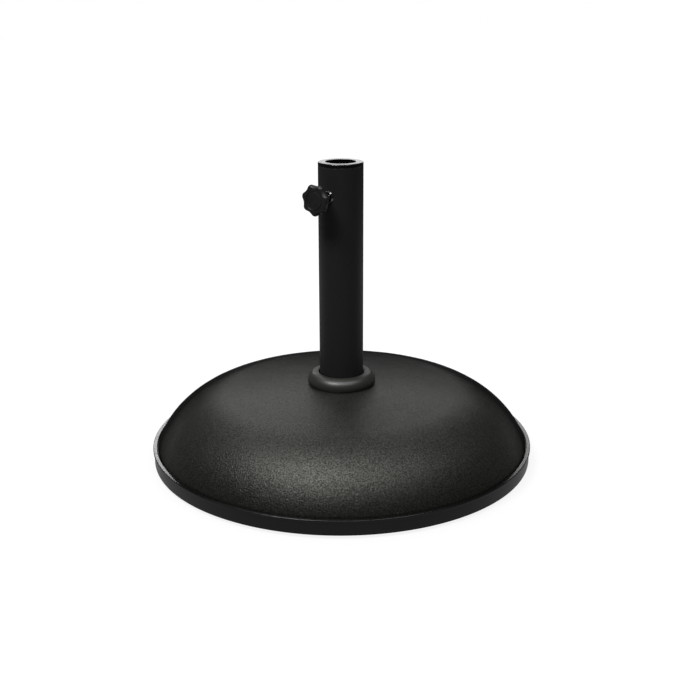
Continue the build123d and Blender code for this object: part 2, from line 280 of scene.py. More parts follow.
def dome_profile():
    """The dome's outline, finely stepped over the coated top and coarser underneath."""
    centre, radius, tilt = shoulder_circle()
    edge_angle = math.degrees(math.atan2(DOME_EDGE[1] - centre.y, DOME_EDGE[0] - centre.x))
    first_angle = 90 - math.degrees(math.asin(TUBE_PASSAGE / CROWN_RADIUS))
    crown_steps = round((CROWN_END - TUBE_PASSAGE) / DOME_STEP)
    crown = arc((0, DOME_TOP - CROWN_RADIUS), CROWN_RADIUS, first_angle, 90 - math.degrees(tilt), crown_steps)
    turn = 90 - math.degrees(tilt) - edge_angle
    shoulder_steps = round(math.radians(turn) * radius / DOME_STEP)
    edge_trim = 0.6
    shoulder = arc(centre, radius, 90 - math.degrees(tilt), edge_angle + edge_trim, shoulder_steps)
    edge_x, shelf = DOME_EDGE[0], LIP_BOTTOM - 0.1 * MM
    foot = RING_RADIUS - LIP_OVERHANG - RING_WALL - 0.1 * MM
    floor = bottom_of("concrete_weight")
    rest = [(edge_x, DOME_EDGE[1] - 0.9 * MM), (edge_x, shelf), (foot, shelf), (foot, floor)]
    underside = 24
    for step in range(1, underside):
        rest.append((foot + (RECESS_RADIUS - foot) * step / underside, floor))
    rest += [(RECESS_RADIUS, floor), (RECESS_RADIUS, (floor + RECESS_TOP) / 2), (RECESS_RADIUS, RECESS_TOP)]
    rest += [(34 * MM, RECESS_TOP), (34 * MM, 28 * MM), (TUBE_PASSAGE, 28 * MM)]
    return crown + shoulder[1:] + rest


# Displaced relief of the dome: how wide each feature is and how far it moves the surface.
SWELL_SIZE, SWELL_HEIGHT = 26 * MM, 0.12 * MM
SAND_SIZE, SAND_HEIGHT = 3.6 * MM, 0.10 * MM
PIT_SIZE, PIT_DEPTH = 9 * MM, 0.25 * MM
SMOOTH_SEAT = 6 * MM


def roughen_dome(dome):
    """Sand grain on the coated top and cast pits underneath, as small moves along the normals."""
    mesh = dome.data
    floor = bottom_of("concrete_weight")
    normals = [normal.vector.copy() for normal in mesh.vertex_normals]
    places = [vertex.co.copy() for vertex in mesh.vertices]
    moved = []
    for place, normal in zip(places, normals):
        distance = math.hypot(place.x, place.y)
        if place.z > LIP_BOTTOM and distance > TUBE_PASSAGE + SMOOTH_SEAT:
            swell = noise.noise(place / SWELL_SIZE) * SWELL_HEIGHT
            grain = noise.noise(place / SAND_SIZE) * SAND_HEIGHT
            place = place + normal * (swell + grain)
        elif place.z < floor + 0.5 * MM and distance < foot_floor_radius():
            pit = noise.noise(place / PIT_SIZE) * PIT_DEPTH
            place = place - normal * abs(pit)
        moved.extend(place)
    mesh.vertices.foreach_set("co", moved)
    mesh.update()


def foot_floor_radius():
    """Radius inside which the weight's underside is bare, short of the ring's floor."""
    return 195 * MM


def make_dome(material):
    dome = lathe("dome", dome_profile(), DOME_SEGMENTS)
    roughen_dome(dome)
    dome.data.set_sharp_from_angle(angle=math.radians(50))
    stand_for("concrete_weight", dome, material)


def make_edge_ring(material):
    """L-shaped moulding: floor, wall, and a lip that overhangs the wall with a crease beneath."""
    outer, wall = RING_RADIUS, RING_RADIUS - LIP_OVERHANG
    lip_inner, inner = 244.7 * MM, RING_RADIUS - LIP_OVERHANG - RING_WALL
    floor_inner, floor_top = 196 * MM, bottom_of("concrete_weight")
    profile = rounded([
        (floor_inner, RING_BOTTOM, 0.4 * MM),
        (wall, RING_BOTTOM, 1.2 * MM),
        (wall, LIP_BOTTOM, 0.25 * MM),
        (outer, LIP_BOTTOM, 0.7 * MM),
        (outer, RING_TOP, 0.8 * MM),
        (lip_inner, RING_TOP, 0.8 * MM),
        (lip_inner, LIP_BOTTOM, 0.2 * MM),
        (inner, LIP_BOTTOM),
        (inner, floor_top),
        (floor_inner, floor_top, 0.4 * MM),
    ])
    ring = lathe("ring", profile, 720)
    stand_for("edge_ring", crisp(ring), material)


def make_collar(material):
    """Hollow half-round ring that sits loose on the dome round the tube."""
    outer, top, foot = radius_of("foot_collar"), top_of("foot_collar"), bottom_of("foot_collar")
    bulge, skin = 11.8 * MM, SKIN
    centre = (outer - bulge, top - bulge)
    bore, lip = 29.6 * MM, 1.4 * MM
    foot_radius = 43 * MM
    profile = arc((bore + lip, top - lip), lip, 180, 90, 6)
    profile += arc(centre, bulge, 90, 0, 24)
    drop = centre[1] - foot
    tuck = (drop**2 + (outer - foot_radius)**2) / (2 * (outer - foot_radius))
    tuck_angle = math.degrees(math.asin(drop / tuck))
    profile += arc((outer - tuck, centre[1]), tuck, 0, -tuck_angle, 6)[1:]
    profile += [(foot_radius - skin, foot)]
    profile += arc(centre, bulge - skin, 0, 90, 14)
    profile += [(bore + skin, top - skin), (bore + skin, top - 8 * MM), (bore, top - 8 * MM)]
    collar = lathe("collar", profile, 256)
    stand_for("foot_collar", crisp(collar, 50), material)


# ---------------------------------------------------------------- upright
def make_tube(material):
    foot, top = bottom_of("upright_tube"), top_of("upright_tube")
    edge = 0.45 * MM
    profile = rounded([
        (TUBE_BORE, foot, edge),
        (TUBE_RADIUS, foot, edge),
        (TUBE_RADIUS, top, edge),
        (TUBE_BORE, top, edge),
    ])
    tube = lathe("tube", profile, 192)
    barrel = 5.5 * MM
    hole = [(0, 20 * MM), (barrel, 20 * MM), (barrel, 35 * MM), (0, 35 * MM)]
    drill = lathe("drill", hole, 48, CLAMP_PLACE)
    stand_for("upright_tube", crisp(cut(tube, drill)), material)


def anchor_turns():
    """The four anchor bolts' places about the pole's axis."""
    return [math.radians(45 + 90 * step) for step in range(4)]


def around(radius, turns, height=0.0):
    """Matrices that put a mesh made at the origin at each turn, facing outward."""
    return [
        Matrix.Rotation(turn, 4, "Z") @ Matrix.Translation((radius, 0, height)) for turn in turns
    ]


ANCHOR_CIRCLE = 47.5 * MM
M8_RADIUS = 3.9 * MM


def make_flange(material):
    """The tube's foot plate with its weld bead, whose ripples follow the tube round."""
    low, high = bottom_of("anchor_flange"), 22 * MM
    outer, drain, leg = radius_of("anchor_flange"), 15 * MM, top_of("anchor_flange") - 22 * MM
    edge = 0.5 * MM
    profile = rounded([(drain, low, edge), (outer, low, edge), (outer, high, edge), (drain, high, edge)])
    plate = lathe("plate", profile, 160)
    drill = lathe("drill", [(0, 10 * MM), (4.5 * MM, 10 * MM), (4.5 * MM, 30 * MM), (0, 30 * MM)], 40)
    cut(plate, copies("drills", drill, around(ANCHOR_CIRCLE, anchor_turns())))
    crisp(plate)
    bake_modifiers(plate)

    def ripple(item, turn):
        radius, height = item
        out = (radius - TUBE_RADIUS) / leg
        swell = 0.35 * MM * math.sin(turn * 46) * out
        return radius + swell, height

    bead_profile = [(TUBE_RADIUS, high), (TUBE_RADIUS, high + leg)]
    bead_profile += arc((TUBE_RADIUS + leg, high + leg), leg * 0.86, 185, 265, 5)
    bead_profile += [(TUBE_RADIUS + leg, high)]
    bead = lathe("bead", bead_profile, 368, bend=ripple)
    stand_for("anchor_flange", join("flange", [plate, bead]), material)


def hex_head(name, across, height, segments=72):
    """A bolt head with chamfered corners, standing from 0 down to -height, its bearing face at 0."""
    chamfer_start = across / 2 * 0.94
    points, faces = [(0, 0, -height)], []
    for step in range(segments):
        turn = 2 * math.pi * step / segments
        corner = (turn % (math.pi / 3)) - math.pi / 6
        reach = across / 2 / math.cos(corner)
        drop = (reach - chamfer_start) * math.tan(math.radians(30))
        for radius, level in ((chamfer_start, height), (reach, height - drop), (reach, 0.0)):
            points.append((radius * math.cos(turn), radius * math.sin(turn), -level))
    points.append((0, 0, 0))
    last = len(points) - 1
    for step in range(segments):
        here, there = 1 + step * 3, 1 + (step + 1) % segments * 3
        faces.append((0, here, there))
        faces.append((here, here + 1, there + 1, there))
        faces.append((here + 1, here + 2, there + 2, there + 1))
        faces.append((here + 2, last, there + 2))
    return mesh_object(name, points, faces)


def threaded_rod(name, length, pitch, radius, depth, segments=36, rows_per_turn=10):
    """A right-hand threaded rod from z = 0 to its length, its thread running out at both ends."""
    rows = round(length / pitch * rows_per_turn)
    points, faces = [], []
    for row in range(rows + 1):
        height = length * row / rows
        run_out = min(1.0, height / pitch, (length - height) / pitch)
        for step in range(segments):
            turn = 2 * math.pi * step / segments
            phase = (height / pitch - step / segments) % 1.0
            valley = max(0.0, min(1.0, (abs(phase - 0.5) * 2 - 0.12) / 0.76))
            reach = radius - depth * (valley * run_out + (1 - run_out))
            points.append((reach * math.cos(turn), reach * math.sin(turn), height))
    for row in range(rows):
        for step in range(segments):
            here, there = row * segments + step, row * segments + (step + 1) % segments
            faces.append((here, there, there + segments, here + segments))
    faces.append(tuple(range(segments)))
    faces.append(tuple(rows * segments + step for step in range(segments)))
    return mesh_object(name, points, faces)


M8_PITCH = 1.25 * MM
M8_THREAD_DEPTH = 0.6 * MM
M8_ACROSS = 13 * MM


def make_anchor_bolts(material):
    low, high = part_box("anchor_bolts")
    head = 5.3 * MM
    seat = low.z + head
    bolt = hex_head("head", M8_ACROSS, head)
    rod = threaded_rod("rod", high.z - seat, M8_PITCH, M8_RADIUS, M8_THREAD_DEPTH)
    one = join("bolt", [bolt, rod])
    one.data.transform(Matrix.Rotation(0.3, 4, "Z"))
    bolts = copies("bolts", one, around(ANCHOR_CIRCLE, anchor_turns(), seat))
    stand_for("anchor_bolts", crisp(bolts), material)


def make_anchor_washers(material):
    low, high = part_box("anchor_washers")
    edge = 0.2 * MM
    profile = rounded([
        (4.2 * MM, low.z, edge), (8 * MM, low.z, edge), (8 * MM, high.z, edge), (4.2 * MM, high.z, edge),
    ])
    washers = copies("washers", lathe("washer", profile, 64), around(ANCHOR_CIRCLE, anchor_turns()))
    stand_for("anchor_washers", crisp(washers), material)


def make_lock_washers(material):
    """Split spring washers: nearly a full turn of square wire, with its ends apart."""
    low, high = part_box("anchor_lock_washers")
    steps, gap = 60, math.radians(10)
    section = rounded([
        (4.2 * MM, 0, 0.2 * MM), (7.4 * MM, 0, 0.2 * MM),
        (7.4 * MM, high.z - low.z, 0.2 * MM), (4.2 * MM, high.z - low.z, 0.2 * MM),
    ], 2)
    points, faces = [], []
    count = len(section)
    for step in range(steps + 1):
        turn = gap / 2 + (2 * math.pi - gap) * step / steps
        for radius, height in section:
            points.append((radius * math.cos(turn), radius * math.sin(turn), low.z + height))
    for step in range(steps):
        for index in range(count):
            here, after = step * count + index, step * count + (index + 1) % count
            faces.append((here, here + count, after + count, after))
    faces.append(tuple(range(count)))
    faces.append(tuple(steps * count + index for index in range(count)))
    washer = mesh_object("lock_washer", points, faces)
    washers = copies("lock_washers", washer, around(ANCHOR_CIRCLE, anchor_turns()))
    stand_for("anchor_lock_washers", crisp(washers), material)


def ribs(inner, outer, low, high, count, width=SKIN):
    """Flat radial ribs between two round walls, let a little way into both."""
    bite = 0.4 * MM
    middle = (inner + outer) / 2
    size = (outer - inner + 2 * bite, width, high - low)
    return [
        block("rib", size, (middle, 0, (low + high) / 2), 2 * math.pi * step / count)
        for step in range(count)
    ]


def make_plug(material):
    """Cup in the tube's foot: double-walled and ribbed, with a lead-in and a drain hole."""
    low, high, outer = bottom_of("pole_seat_plug"), top_of("pole_seat_plug"), radius_of("pole_seat_plug")
    floor, drain, lead = 3 * MM, 5 * MM, 1.2 * MM
    profile = [
        (drain, low), (outer, low), (outer, high), (outer - SKIN, high), (outer - SKIN, low + floor),
        (POLE_BORE + SKIN, low + floor), (POLE_BORE + SKIN, high), (POLE_BORE + lead, high),
        (POLE_BORE, high - lead), (POLE_BORE, low + floor), (drain, low + floor),
    ]
    parts = [lathe("plug", profile, 128)]
    parts += ribs(POLE_BORE + SKIN, outer - SKIN, low + floor - 0.2 * MM, high - 0.5 * MM, 6)
    stand_for("pole_seat_plug", crisp(join("plug", parts)), material)


def make_sleeve(material):
    """Sleeve in the tube's top: a flange as wide as the tube, and a ribbed double skirt below."""
    low, high, outer = bottom_of("reducer_sleeve"), top_of("reducer_sleeve"), radius_of("reducer_sleeve")
    seat = top_of("upright_tube")
    skirt = TUBE_BORE - 0.15 * MM
    profile = rounded([
        (POLE_BORE, low, 0.4 * MM), (POLE_BORE + SKIN, low, 0.4 * MM), (POLE_BORE + SKIN, seat),
        (skirt - SKIN, seat), (skirt - SKIN, low, 0.4 * MM), (skirt, low, 0.5 * MM), (skirt, seat),
        (outer, seat, 0.5 * MM), (outer, high, 1.2 * MM), (POLE_BORE, high, 0.45 * MM),
    ])
    parts = [lathe("sleeve", profile, 192)]
    parts += ribs(POLE_BORE + SKIN, skirt - SKIN, low + 0.6 * MM, seat + 0.2 * MM, 8)
    stand_for("reducer_sleeve", crisp(join("sleeve", parts)), material)


# ---------------------------------------------------------------- clamp
KNOB_LOBES = 7
LOBE_TURN = math.radians(10)
LOBE_REACH = 20.1 * MM
VALLEY_REACH = 17.5 * MM
LOBE_ROUND = 5 * MM
ENVELOPE_RADIUS = LOBE_REACH + 0.3 * MM
LOBE_SOFTNESS = 0.5 * MM
HALF_STEP = math.pi / KNOB_LOBES
LOBE_CENTRE = LOBE_REACH - LOBE_ROUND
VALLEY_PULL = 2 * LOBE_CENTRE * math.cos(HALF_STEP)
VALLEY_ROUND = (
    VALLEY_REACH**2 + LOBE_CENTRE**2 - VALLEY_REACH * VALLEY_PULL - LOBE_ROUND**2
) / (2 * LOBE_ROUND + VALLEY_PULL - 2 * VALLEY_REACH)


def lobe_reach(turn):
    """The knob outline's distance from its axis: convex lobe arcs tangent to concave valley arcs."""
    from_lobe = (turn - LOBE_TURN + HALF_STEP) % (2 * HALF_STEP) - HALF_STEP
    valley_centre = VALLEY_REACH + VALLEY_ROUND
    share = LOBE_ROUND / (LOBE_ROUND + VALLEY_ROUND)
    meet_x = LOBE_CENTRE + (valley_centre * math.cos(HALF_STEP) - LOBE_CENTRE) * share
    meet_y = valley_centre * math.sin(HALF_STEP) * share
    if abs(from_lobe) < math.atan2(meet_y, meet_x):
        side = LOBE_CENTRE * math.sin(from_lobe)
        return LOBE_CENTRE * math.cos(from_lobe) + math.sqrt(LOBE_ROUND**2 - side**2)
    from_valley = HALF_STEP - abs(from_lobe)
    side = valley_centre * math.sin(from_valley)
    return valley_centre * math.cos(from_valley) - math.sqrt(VALLEY_ROUND**2 - side**2)


def soft_min(first, second):
    """The smaller of two lengths, with the corner between them rounded off."""
    return (first + second - math.hypot(first - second, LOBE_SOFTNESS)) / 2


def make_knob(material):
    """Star knob: a lobed grip with a full round on its front, cut by a cone that runs back to the
    hub. Profile points are (reach, distance out, inset): without an inset the reach stands as it
    is, with one it is also limited by the lobed outline less the inset."""
    front, hub = reach_of("clamp_knob"), inner_end_of("clamp_knob")
    front_round = 4.4 * MM
    widest, neck_end, neck = front - 4.5 * MM, hub + 4.1 * MM, 6 * MM
    recess, recess_floor, bore = 11.5 * MM, front - 3.1 * MM, 4 * MM
    profile = [(bore, hub, None), (neck - 0.4 * MM, hub, None), (neck, hub + 0.4 * MM, None)]
    profile += [(neck, neck_end - 0.4 * MM, None)]
    cone_steps, round_steps = 12, 10
    for step in range(cone_steps + 1):
        share = step / cone_steps
        reach = neck + (ENVELOPE_RADIUS - neck) * share
        profile.append((reach, neck_end + (widest - neck_end) * share, 0))
    for step in range(round_steps + 1):
        turn = math.radians(90) * step / round_steps
        inset = front_round * (1 - math.cos(turn))
        profile.append((ENVELOPE_RADIUS, front - front_round * (1 - math.sin(turn)), inset))
    profile += [(recess + 0.8 * MM, front, None), (recess + 0.25 * MM, front - 0.25 * MM, None)]
    profile += [(recess, front - 0.8 * MM, None), (recess, recess_floor, None), (bore, recess_floor, None)]

    def lobed(item, turn):
        reach, distance, inset = item
        if inset is not None:
            reach = soft_min(reach, lobe_reach(turn)) - inset
        return reach, distance

    knob = lathe("knob", profile, 7 * 48, CLAMP_PLACE, lobed)
    stand_for("clamp_knob", crisp(knob, 50), material)


def make_cap(material):
    """Push-in cap over the screw's head, slightly dished."""
    front, seat, outer = reach_of("knob_cap"), inner_end_of("knob_cap"), 11.4 * MM
    dish, dish_depth, thickness = 9.8 * MM, 0.4 * MM, 1.6 * MM
    profile = [(0, front - dish_depth)]
    profile += [(dish * 0.5, front - dish_depth), (dish - 0.5 * MM, front - dish_depth)]
    profile += [(dish, front - 0.25 * MM), (dish + 0.5 * MM, front)]
    profile += [(outer - 0.9 * MM, front), (outer - 0.3 * MM, front - 0.3 * MM), (outer, front - 0.9 * MM)]
    profile += [(outer, seat), (outer - 1.2 * MM, seat), (outer - 1.2 * MM, front - thickness)]
    profile += [(0, front - thickness)]
    stand_for("knob_cap", crisp(lathe("cap", profile, 96, CLAMP_PLACE)), material)


def make_nut(material):
    """Riveted nut: its flange and its bulge inside follow the tube's round walls."""
    face, inner_end = reach_of("clamp_nut"), inner_end_of("clamp_nut")
    low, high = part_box("clamp_nut")
    flange, bulge, barrel, bore = (high.x - low.x) / 2, 6.5 * MM, 5.5 * MM, 4 * MM
    saddle = {"out": TUBE_RADIUS, "in": TUBE_BORE}
    profile = [
        (bore, inner_end), (bore + 0.3 * MM, inner_end), (barrel - 0.3 * MM, inner_end),
        (barrel, inner_end + 0.3 * MM), (barrel, 24 * MM), (bulge - 0.2 * MM, 24.5 * MM),
        (bulge, 24.9 * MM), (bulge, "in"), (barrel, "in"), (barrel, "out"), (flange, "out"),
        (flange - 0.9 * MM, face - 0.1 * MM), (flange - 1.0 * MM, face),
        (bore + 0.3 * MM, face), (bore, face - 0.3 * MM),
    ]

    def follow_tube(item, turn):
        radius, distance = item
        if distance in saddle:
            distance = math.sqrt(saddle[distance]**2 - (radius * math.cos(turn))**2)
        return radius, distance

    nut = lathe("nut", profile, 96, CLAMP_PLACE, follow_tube)
    stand_for("clamp_nut", crisp(nut), material)


def make_screw(material):
    """M8 screw: a hex head in the knob, a real thread, and a plain pivot for the pad."""
    tip = inner_end_of("clamp_screw")
    pivot = 1.4 * MM
    head_top = reach_of("clamp_screw")
    head = 5.3 * MM
    seat = head_top - head
    rod = threaded_rod("rod", seat - tip - pivot, M8_PITCH, M8_RADIUS, M8_THREAD_DEPTH)
    rod.data.transform(Matrix.Translation((0, 0, tip + pivot)))
    top = hex_head("head", M8_ACROSS, head)
    top.data.transform(Matrix.Translation((0, 0, seat)) @ Matrix.Rotation(math.pi, 4, "X"))
    peg = lathe("peg", [
        (0, tip), (1.6 * MM, tip), (1.9 * MM, tip + 0.3 * MM), (1.9 * MM, tip + pivot + 0.2 * MM),
        (0, tip + pivot + 0.2 * MM),
    ], 32)
    screw = join("screw", [rod, top, peg])
    screw.data.transform(CLAMP_PLACE)
    stand_for("clamp_screw", crisp(screw), material)


def make_tip_pad(material):
    face, back = inner_end_of("screw_tip_pad"), reach_of("screw_tip_pad")
    outer, socket = 3.3 * MM, 2 * MM
    profile = rounded([
        (0, face), (outer, face, 0.6 * MM), (outer, back, 0.2 * MM), (socket, back),
        (socket, back - 1.5 * MM), (0, back - 1.5 * MM),
    ])
    stand_for("screw_tip_pad", crisp(lathe("pad", profile, 48, CLAMP_PLACE)), material)


# ---------------------------------------------------------------- feet
FOOT_CIRCLE = 215 * MM


def make_feet(material):
    """Rubber feet with two tread grooves round the screw's counterbore."""
    height, outer, bore, hole = top_of("rubber_feet"), 16 * MM, 5.4 * MM, 2.6 * MM
    tread, groove = 0.5 * MM, 0.8 * MM
    corners = [(hole, 2.6 * MM), (bore, 2.6 * MM), (bore, 0, 0.4 * MM)]
    for middle in (8.6 * MM, 12 * MM):
        corners += [(middle - groove, 0), (middle - groove / 2, tread), (middle + groove / 2, tread)]
        corners += [(middle + groove, 0)]
    corners += [(outer - 0.8 * MM, 0), (outer, 0.8 * MM), (outer, height, 0.3 * MM), (hole, height)]
    foot = lathe("foot", rounded(corners), 96)
    feet = copies("feet", foot, around(FOOT_CIRCLE, anchor_turns()))
    stand_for("rubber_feet", crisp(feet), material)


def make_foot_screws(material):
    """Pan-head screws with a cross recess in each head."""
    low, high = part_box("foot_screws")
    head, radius, head_height = low.z, 4.5 * MM, 2.1 * MM
    dome = arc((0, head + 4.9 * MM), 4.9 * MM, -90, -56, 6)
    back = head + head_height
    profile = dome + [(radius, back - 0.3 * MM), (radius, back), (0, back)]
    one = lathe("head", profile, 48)
    for turn in (0, math.pi / 2):
        slot = block("slot", (4.6 * MM, 0.9 * MM, 2.4 * MM), (0, 0, head + 0.1 * MM), turn)
        cut(one, slot)
    rod = threaded_rod("rod", high.z - head - head_height, 1.8 * MM, 2.2 * MM, 0.5 * MM, 24, 8)
    rod.data.transform(Matrix.Translation((0, 0, head + head_height - 0.05 * MM)))
    one = join("screw", [one, rod])
    screws = copies("screws", one, around(FOOT_CIRCLE, anchor_turns()))
    stand_for("foot_screws", crisp(screws), material)


# ---------------------------------------------------------------- materials
class Finish:
    """A node material under construction, in object coordinates, so in the frame's own metres."""

    def __init__(self, name):
        self.material = bpy.data.materials.new(name)
        self.material.use_nodes = True
        self.tree = self.material.node_tree
        self.surface = self.tree.nodes["Principled BSDF"]
        self.place = self.node("ShaderNodeTexCoord").outputs["Object"]

    def node(self, kind, inputs=None, **settings):
        made = self.tree.nodes.new(kind)
        for key, value in settings.items():
            setattr(made, key, value)
        for key, value in (inputs or {}).items():
            if isinstance(value, bpy.types.NodeSocket):
                self.tree.links.new(value, made.inputs[key])
            else:
                made.inputs[key].default_value = value
        return made

    def noise(self, size, detail=2.0, stretch=(1, 1, 1)):
        """Noise whose features are about this many metres across."""
        mapped = self.node("ShaderNodeMapping", {"Vector": self.place, "Scale": stretch})
        inputs = {"Vector": mapped.outputs[0], "Scale": 1 / size, "Detail": detail}
        return self.node("ShaderNodeTexNoise", inputs).outputs["Fac"]

    def cells(self, size):
        inputs = {"Vector": self.place, "Scale": 1 / size}
        return self.node("ShaderNodeTexVoronoi", inputs)

    def ramp(self, value, low, high, to_low=0.0, to_high=1.0):
        inputs = {"Value": value, "From Min": low, "From Max": high, "To Min": to_low, "To Max": to_high}
        return self.node("ShaderNodeMapRange", inputs).outputs["Result"]

    def math(self, operation, first, second=0.0):
        return self.node("ShaderNodeMath", {0: first, 1: second}, operation=operation).outputs[0]

    def mix(self, share, first, second):
        made = self.tree.nodes.new("ShaderNodeMix")
        made.data_type = "RGBA"
        for socket, value in ((0, share), (6, first), (7, second)):
            if isinstance(value, bpy.types.NodeSocket):
                self.tree.links.new(value, made.inputs[socket])
            else:
                made.inputs[socket].default_value = value
        return made.outputs[2]

    def bump(self, height, distance, strength=1.0, before=None):
        inputs = {"Height": height, "Distance": distance, "Strength": strength}
        if before is not None:
            inputs["Normal"] = before
        return self.node("ShaderNodeBump", inputs).outputs["Normal"]

    def set(self, **inputs):
        names = {"color": "Base Color", "rough": "Roughness", "normal": "Normal", "metal": "Metallic"}
        names |= {"tint": "Specular Tint", "specular": "Specular IOR Level"}
        for key, value in inputs.items():
            socket = self.surface.inputs[names[key]]
            if isinstance(value, bpy.types.NodeSocket):
                self.tree.links.new(value, socket)
            else:
                socket.default_value = value
        return self.material

    def painted_edge_shade(self, color, start, end, share):
        """Fades the gloss towards a matte colour where the surface is seen edge-on, a painted shade that
        darkens those edges.
        """
        facing = self.node("ShaderNodeLayerWeight", {"Blend": 0.5}).outputs["Facing"]
        matte = self.node("ShaderNodeBsdfDiffuse", {"Color": color})
        mix = self.tree.nodes.new("ShaderNodeMixShader")
        self.tree.links.new(self.ramp(facing, start, end, 0.0, share), mix.inputs[0])
        self.tree.links.new(self.surface.outputs[0], mix.inputs[1])
        self.tree.links.new(matte.outputs[0], mix.inputs[2])
        self.tree.links.new(mix.outputs[0], self.tree.nodes["Material Output"].inputs["Surface"])
        return self.material


def grey(red, green, blue):
    return (red, green, blue, 1.0)


def coated_concrete():
    """Charcoal sand-textured coat on top, bare cast concrete underneath."""
    finish = Finish("coated_concrete")
    grain = finish.noise(1.9 * MM, 3.0)
    dust = finish.noise(0.5 * MM, 1.0)
    cloud = finish.noise(60 * MM, 3.0)
    dark, light = grey(0.016, 0.0164, 0.0140), grey(0.032, 0.0326, 0.0285)
    coat = finish.mix(finish.ramp(grain, 0.35, 0.68), dark, light)
    coat = finish.mix(finish.ramp(cloud, 0.3, 0.7, 0.0, 0.25), coat, dark)
    fleck = finish.cells(16 * MM)
    near = finish.ramp(fleck.outputs["Distance"], 0.035, 0.055, 1.0, 0.0)
    chosen = finish.math("GREATER_THAN", finish.noise(40 * MM, 0.0), 0.62)
    coat = finish.mix(finish.math("MULTIPLY", near, chosen), coat, grey(0.16, 0.155, 0.14))
    pore = finish.cells(7 * MM)
    bare = finish.mix(finish.noise(14 * MM, 4.0), grey(0.25, 0.245, 0.23), grey(0.40, 0.39, 0.37))
    in_pore = finish.ramp(pore.outputs["Distance"], 0.05, 0.16, 1.0, 0.0)
    bare = finish.mix(in_pore, bare, grey(0.12, 0.12, 0.11))
    height = finish.node("ShaderNodeSeparateXYZ", {0: finish.place}).outputs["Z"]
    underneath = finish.ramp(height, 22.5 * MM, 21.5 * MM)
    normal = finish.bump(grain, 0.55 * MM, 1.0)
    normal = finish.bump(dust, 0.2 * MM, 1.0, normal)
    # Painted shade: below 62 mm the coat's colour fades towards near-black and its gloss drops, to half at 30
    # mm and below, darkening the dome's low edge.
    painted_foot_shade = finish.ramp(height, 30 * MM, 62 * MM, 0.5, 1.0)
    gloss = finish.ramp(grain, 0.38, 0.66, 0.26, 0.92)
    finish.set(
        # grey(0.006, 0.006, 0.005) is the painted shade's near-black colour at the dome's foot.
        color=finish.mix(underneath, finish.mix(painted_foot_shade, grey(0.006, 0.006, 0.005), coat), bare),
        rough=finish.ramp(dust, 0.3, 0.7, 0.26, 0.38),
        specular=finish.math("MULTIPLY", gloss, painted_foot_shade),
        tint=grey(1.0, 1.0, 0.93),
        normal=normal,
    )
    # Painted shade: a near-black matte takes up to 85 % of the surface where the dome is seen edge-on.
    return finish.painted_edge_shade(grey(0.004, 0.004, 0.004), 0.62, 0.80, 0.85)


def ring_plastic():
    """Glossy black moulding with faint flow waves and hairline scuffs."""
    finish = Finish("ring_plastic")
    wave = finish.noise(18 * MM, 2.0)
    scuff = finish.noise(1.2 * MM, 3.0, (1, 1, 9))
    normal = finish.bump(wave, 0.25 * MM, 0.25)
    rough = finish.ramp(scuff, 0.35, 0.75, 0.14, 0.26)
    color = finish.mix(finish.noise(4 * MM), grey(0.003, 0.003, 0.003), grey(0.006, 0.006, 0.006))
    normal = finish.bump(scuff, 0.04 * MM, 0.3, normal)
    return finish.set(color=color, rough=rough, normal=normal, specular=0.57)


def tube_paint():
    """Satin black powder coat with a fine orange peel."""
    finish = Finish("tube_paint")
    peel = finish.noise(1.6 * MM, 2.0)
    speck = finish.noise(0.4 * MM, 1.0)
    color = finish.mix(finish.ramp(speck, 0.3, 0.7), grey(0.017, 0.017, 0.018), grey(0.026, 0.026, 0.027))
    rough = finish.ramp(peel, 0.3, 0.7, 0.36, 0.46)
    return finish.set(color=color, rough=rough, specular=0.2, normal=finish.bump(peel, 0.05 * MM, 0.5))


def collar_plastic():
    """Satin charcoal moulding, close to the dome's colour, finely grained."""
    finish = Finish("collar_plastic")
    grain = finish.noise(0.9 * MM, 2.0)
    color = finish.mix(grain, grey(0.026, 0.0265, 0.0235), grey(0.038, 0.0385, 0.035))
    rough = finish.ramp(grain, 0.3, 0.7, 0.36, 0.46)
    normal = finish.bump(grain, 0.05 * MM, 0.4)
    return finish.set(color=color, rough=rough, specular=0.85, normal=normal)


def black_plastic(name, level, rough_low, rough_high, specular):
    """Moulded black plastic with a fine eroded texture."""
    finish = Finish(name)
    grain = finish.noise(0.5 * MM, 2.0)
    wear = finish.noise(5 * MM, 3.0)
    dark, light = grey(0.7 * level, 0.7 * level, 0.7 * level), grey(1.3 * level, 1.3 * level, 1.25 * level)
    color = finish.mix(wear, dark, light)
    rough = finish.ramp(wear, 0.3, 0.7, rough_low, rough_high)
    return finish.set(color=color, rough=rough, specular=specular, normal=finish.bump(grain, 0.04 * MM, 0.4))


def plated_steel(name, base, rough_low, rough_high):
    """Zinc-plated or drawn steel: faint brushing and blotches."""
    finish = Finish(name)
    blotch = finish.noise(3 * MM, 3.0)
    brush = finish.noise(0.3 * MM, 2.0, (1, 1, 12))
    dark = grey(*(0.75 * value for value in base))
    color = finish.mix(blotch, dark, grey(*base))
    rough = finish.ramp(brush, 0.3, 0.7, rough_low, rough_high)
    return finish.set(color=color, rough=rough, metal=1.0, normal=finish.bump(brush, 0.02 * MM, 0.4))


def plain_plastic(name, base, rough):
    """Uncoloured or grey nylon, a little cloudy."""
    finish = Finish(name)
    cloud = finish.noise(2.5 * MM, 2.0)
    dark = grey(*(0.85 * value for value in base))
    color = finish.mix(cloud, dark, grey(*base))
    return finish.set(color=color, rough=finish.ramp(cloud, 0.3, 0.7, rough - 0.06, rough + 0.06))


def foot_rubber():
    finish = Finish("foot_rubber")
    grain = finish.noise(0.7 * MM, 3.0)
    color = finish.mix(grain, grey(0.014, 0.014, 0.014), grey(0.030, 0.030, 0.029))
    rough = finish.ramp(grain, 0.3, 0.7, 0.6, 0.8)
    return finish.set(color=color, rough=rough, normal=finish.bump(grain, 0.06 * MM, 0.5))


